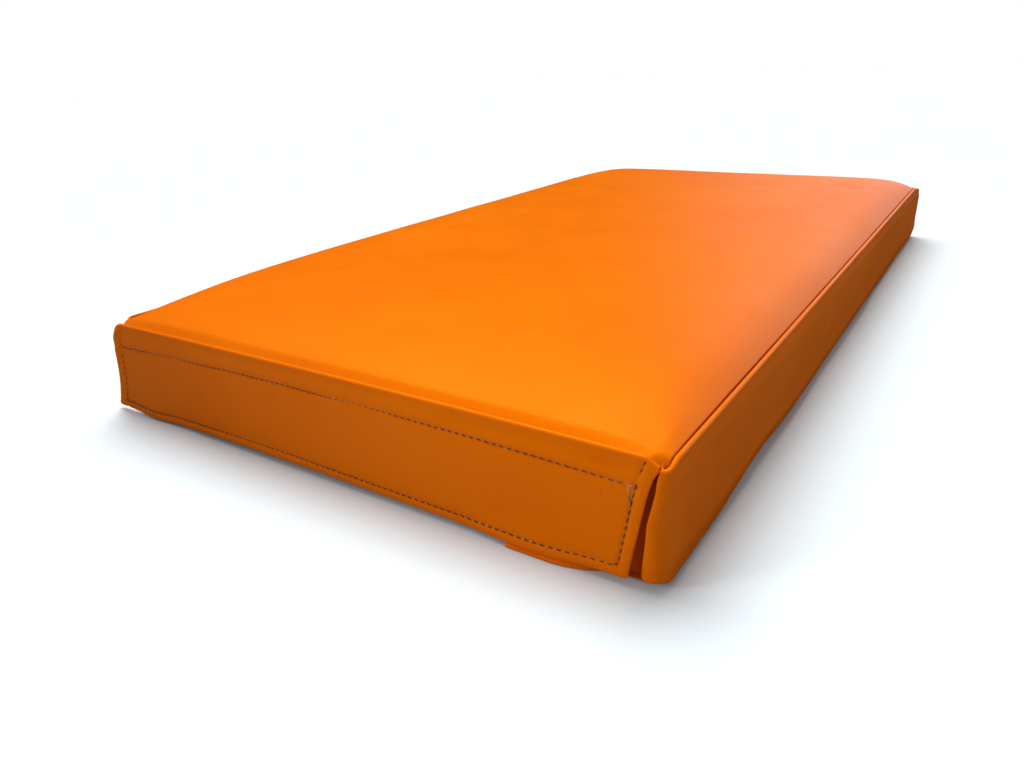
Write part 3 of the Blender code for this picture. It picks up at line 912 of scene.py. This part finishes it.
def backtack(end, tailed):
    """A few stitches over each other at a row's end, and cut tails if they weren't trimmed short."""
    rng = np.random.default_rng(int(abs(end[0]) * 1e4))
    inward = -math.copysign(1, end[0])
    t = np.linspace(0, 1, 8)
    paths = []
    for k in range(6):
        reach = (inward * rng.uniform(0.003, 0.006), 0.0, rng.normal(0, 0.0006))
        back, off = inward * rng.uniform(0, 0.009), rng.normal(0, 0.0004)
        start = end + np.array((back, -THREAD * (0.8 + 0.3 * k), off))
        paths.append(start + np.outer(t, reach) + np.outer(np.sin(np.pi * t), (0, -THREAD, 0)))
    tails = ((0.0026, -0.0120), (0.0023, -0.0117), (0.0017, -0.0085))
    for swing, fall in tails if tailed else ():
        start = end + np.array((inward * 0.0030, -2.2 * THREAD - 0.1 * swing, 0.0))
        bend = xyz(-inward * swing * t**2, -0.0012 * np.sin(np.pi * t), fall * t)
        paths.append(start + bend)
    return np.array(paths)


def fixed_rows(material):
    """Rows that stay on the cover: the hook tape's, the returns' and those inside the seams."""
    def row(name, line, face, node, radius=SEAM_THREAD, pitch=STITCH):
        seam_row(name, [(line, face)], material, node, "cover", radius, pitch)

    for level in ("upper", "lower"):
        node = f"hook_tape_{level}_thread"
        low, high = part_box(node)
        z, y = (low.z + high.z) / 2, HOOK_HIGH.y - 0.0006
        line = [(low.x, y, z), (high.x, y, z)]
        row(f"hook_{level}_stitches", line, FORWARDS, node, TAPE_THREAD, HOOK_PITCH)
    for hand in ("right", "left"):
        node = f"{hand}_return_thread"
        low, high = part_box(node)
        x, y = (low.x + high.x) / 2, RETURN_Y - 0.0002
        line = [(x, y, 0.014), (x, y, high.z - 0.004)]
        row(f"{hand}_return_stitches", line, FORWARDS, node, TAPE_THREAD, RETURN_PITCH)
    path, _, turn = boxing_plan(SEAM)
    inner = path[turn <= 1.1] * (1 - (ROLL + 0.0002) / SIDE)
    loop = np.concatenate([inner[::-1], inner * (-1, 1)])
    for level, shift in (("top", 0.0), ("bottom", 0.003)):
        x, y = loop[:, 0] * (1 - shift / SIDE), loop[:, 1] * (1 - shift / REAR)
        z = seam_height(x, y) - 0.0066 if level == "top" else 0.0030
        line = xyz(x + left_bow(x, y), y, z)
        row(f"{level}_seam_stitches", line, UPWARDS, f"{level}_seam_thread")
    low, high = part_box("fly_seam_thread")
    y, z = (low.y + high.y) / 2, low.z + 0.0003
    row("fly_seam_stitches", [(low.x, y, z), (high.x, y, z)], UPWARDS, "fly_seam_thread")
    x = np.linspace(-0.212, 0.212, 200)
    line = xyz(x, FRONT + ROLL + 0.0002, front_seam(x) - 0.0072)
    row("flap_seam_stitches", line, FORWARDS, "flap_seam_thread")


# ---- hook-and-loop tapes ----
def tape_band(name, low, high, y_outer, y_inner, lean, material, node):
    """A woven band with rounded selvages; lean is how far its lower edge sits to the left."""
    xs = stations(low.x + lean, high.x, 0.01, 0.0012, 0.0050)
    zs = stations(low.z + 0.0002, high.z - 0.0002, 0.01, 0.0008, 0.0030)
    x, z = np.meshgrid(xs, zs)
    x = x - lean * (high.z - z) / (high.z - low.z)
    wave = 0.00005 * ripple(x, z, 55, 0.05, 0.012)
    obj = slab(name, xyz(x, y_outer + wave, z), xyz(x, y_inner + wave, z), material)
    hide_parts(node)
    return obj


def hook_pile(material):
    """Rows of small bent nylon hooks that face the flap."""
    rng = np.random.default_rng(7)
    pitch, margin, tall, uneven, bend_radius = 0.0015, 0.0040, 0.0013, 0.00006, 0.00042
    xs = np.arange(HOOK_LOW.x + margin, HOOK_HIGH.x - margin, pitch)
    zs = np.arange(HOOK_LOW.z + margin, HOOK_HIGH.z - margin, pitch)
    x, z = np.meshgrid(xs, zs)
    x = (x + pitch / 2 * (np.arange(len(zs)) % 2)[:, None]).ravel() + rng.normal(0, uneven, x.size)
    z = z.ravel() + rng.normal(0, uneven, z.size)
    t = np.linspace(0, 1, 6)
    bend = np.clip((t - 0.45) / 0.55, 0, 1) * math.pi * 0.85
    reach = bend_radius * np.sin(bend / 2) ** 2 * 2
    height = tall * np.minimum(t / 0.75, 1) - bend_radius * np.clip(t - 0.75, 0, 1) * 2
    way = np.where(np.round((z - HOOK_LOW.z) / pitch) % 2 == 0, 1.0, -1.0)
    paths = xyz(x[:, None] + way[:, None] * reach, HOOK_HIGH.y - 0.0005 - height, z[:, None])
    return tubes("hook_pile", paths, 0.00013, material, sides=4)


def loop_pile(material, y_base, lean):
    """A brushed field of small loops that faces the pad."""
    rng = np.random.default_rng(11)
    margin, count = 0.0040, 9000
    z = rng.uniform(LOOP_LOW.z + margin, LOOP_HIGH.z - margin, count)
    x = rng.uniform(LOOP_LOW.x + lean + margin, LOOP_HIGH.x - margin, count)
    x = x - lean * (LOOP_HIGH.z - z) / (LOOP_HIGH.z - LOOP_LOW.z)
    angle, wide = rng.uniform(0, 2 * math.pi, count), rng.uniform(0.0005, 0.0013, count)
    tall = rng.uniform(0.0005, 0.0012, count)
    t = np.linspace(0, 1, 6)
    sweep = (t - 0.5)[None, :] * wide[:, None]
    paths = xyz(x[:, None] + np.cos(angle)[:, None] * sweep, y_base + tall[:, None] * np.sin(np.pi * t),
                z[:, None] + np.sin(angle)[:, None] * sweep)
    return tubes("loop_pile", paths, 0.00010, material, sides=4)


def tapes():
    """Both tapes, each a woven band that carries its pile."""
    hook_band = band_material("hook_band", (0.42, 0.10, 0.006), (0.72, 0.19, 0.015))
    loop_band = band_material("loop_band", (0.46, 0.12, 0.010), (0.78, 0.22, 0.025))
    hook_nylon = pile_material("hooks", (0.50, 0.12, 0.01), (0.80, 0.24, 0.03), 0.38)
    loop_nylon = pile_material("loops", (0.55, 0.15, 0.012), (0.86, 0.30, 0.05), 0.8)
    base = HOOK_HIGH.y
    hook = tape_band("hook_tape_band", HOOK_LOW, HOOK_HIGH, base - 0.0005, base - 0.00005, 0.0,
                     hook_band, "hook_tape")
    hooks = hook_pile(hook_nylon)
    lean = 0.0142 * (LOOP_HIGH.z - LOOP_LOW.z) / (FLAP_HIGH.z - FLAP_LOW.z)   # as the flap leans
    inner = FLAP_FACE - FLAP_BELLY + SHEET + 0.0010
    loop = tape_band("loop_tape_band", LOOP_LOW, LOOP_HIGH, inner, inner + 0.0006, lean,
                     loop_band, "loop_tape")
    loops = loop_pile(loop_nylon, inner + 0.0005, lean)
    for pile, band, slot_name in ((hooks, hook, "hook_tape"), (loops, loop, "loop_tape")):
        pile.parent = band
    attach(hook, "cover")
    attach(loop, "flap")
    return hook, loop, hooks, loops


# ---- stage ----
def floor():
    """A pale floor. What it throws back on the object is dimmer than what the camera sees of it."""
    n = Nodes("floor")
    shown = n.plain("ShaderNodeBsdfDiffuse", FLOOR_BOUNCE)
    for ray, colour in (("Is Glossy Ray", FLOOR_GLOSS), ("Is Camera Ray", FLOOR_SEEN)):
        shown = n.choose(ray, shown, n.plain("ShaderNodeBsdfDiffuse", colour))
    n.link(shown.outputs[0], n.tree.nodes["Material Output"].inputs["Surface"])
    half, count, below_pad = 12.0, 9, 0.0003
    x, y = np.meshgrid(np.linspace(-half, half, count), np.linspace(-half, half, count))
    new_piece("floor", xyz(x, y, -below_pad), grid_faces(count, count), n.material)


def aimed(azimuth, elevation):
    """Unit direction at an azimuth from +Y towards +X, and an elevation, in degrees."""
    a, e = math.radians(azimuth), math.radians(elevation)
    return math.sin(a) * math.cos(e), math.cos(a) * math.cos(e), math.sin(e)


def world():
    """White to the camera, grey to matt surfaces, and to gloss a dark warm room with one soft patch."""
    made = bpy.data.worlds.new("room")
    bpy.context.scene.world = made
    made.use_nodes = True
    made.node_tree.nodes.clear()
    n = Tree(made.node_tree)
    dot = n.add("ShaderNodeVectorMath", operation="DOT_PRODUCT")
    dot.inputs[1].default_value = aimed(*VEIL_AIM)
    n.link(n.add("ShaderNodeTexCoord").outputs["Generated"], dot.inputs[0])
    patch = n.ramp(dot.outputs["Value"], 0.0, 1.0, VEIL_EDGE, 1.0, interpolation_type="SMOOTHSTEP")
    gloss = n.add("ShaderNodeBackground")
    n.link(n.mix(patch, GLOSS_ROOM, VEIL), gloss.inputs["Color"])
    seen = n.choose("Is Glossy Ray", n.plain("ShaderNodeBackground", ROOM), gloss)
    seen = n.choose("Is Camera Ray", seen, n.plain("ShaderNodeBackground", WHITE))
    n.link(seen.outputs[0], n.add("ShaderNodeOutputWorld").inputs["Surface"])


def add_lamp(data, place, towards):
    obj = bpy.data.objects.new(data.name, data)
    obj.location = place
    obj.rotation_euler = Vector(towards).to_track_quat("-Z", "Y").to_euler()
    bpy.context.scene.collection.objects.link(obj)
    return obj


def soft_sun(name, colour):
    """The key light's share that falls on matt surfaces or on gloss."""
    data = bpy.data.lights.new(name, "SUN")
    data.energy, data.angle, data.color = SUN, math.radians(SUN_SPREAD), colour
    return add_lamp(data, (0, 0, 1), SUN_TOWARDS)


def lamps():
    """A large key light, high and a little behind and to the left, and a weak fill.

    The fill stands low at the front left and shines on the near right corner.
    """
    soft_sun("key", SUN_COLOUR).visible_glossy = False
    soft_sun("key_gloss", SUN_ON_GLOSS).visible_diffuse = False
    data = bpy.data.lights.new("fill", "AREA")
    data.energy, data.size, data.color = FILL, FILL_SIZE, FILL_COLOUR
    data.spread = math.radians(FILL_SPREAD)
    add_lamp(data, FILL_PLACE, FILL_TARGET - FILL_PLACE).visible_glossy = False


def camera():
    """Looks down on the near right corner from the front."""
    place = Vector((0.33418, -0.74409, 0.24622))
    yaw, down, roll = math.radians(-33.8974), math.radians(23.2586), math.radians(-2.2816)
    forward = Vector((math.sin(yaw) * math.cos(down), math.cos(yaw) * math.cos(down), -math.sin(down)))
    level = Vector((math.cos(yaw), -math.sin(yaw), 0.0))
    upright = level.cross(forward)
    right = level * math.cos(roll) + upright * math.sin(roll)
    up = upright * math.cos(roll) - level * math.sin(roll)
    data = bpy.data.cameras.new("camera")
    data.lens, data.sensor_width = 26.183, 36.0
    data.clip_start, data.clip_end = 0.01, 50.0
    obj = bpy.data.objects.new("camera", data)
    axes = Matrix((right, up, -forward)).transposed().to_4x4()
    obj.matrix_world = Matrix.Translation(place) @ axes
    bpy.context.scene.collection.objects.link(obj)
    bpy.context.scene.camera = obj


# ---- everything together ----
def build():
    """Every piece of the object, with its body."""
    vinyl, thread = vinyl_material(), thread_material()
    foam = foam_block(foam_material())
    top, bottom, fly = cover_top(vinyl), cover_bottom(vinyl), front_fly(vinyl)
    right = boxing("boxing_right", False, vinyl)
    left = boxing("boxing_left", True, vinyl)
    front_flap = flap(vinyl)
    hook, loop, hooks, loops = tapes()
    for piece in (foam, top, bottom, fly, right, left):
        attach(piece, "cover")
    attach(front_flap, "flap")
    flap_rows(thread)
    fixed_rows(thread)


build()
floor()
world()
lamps()
camera()
bpy.context.scene.view_settings.view_transform = "Standard"
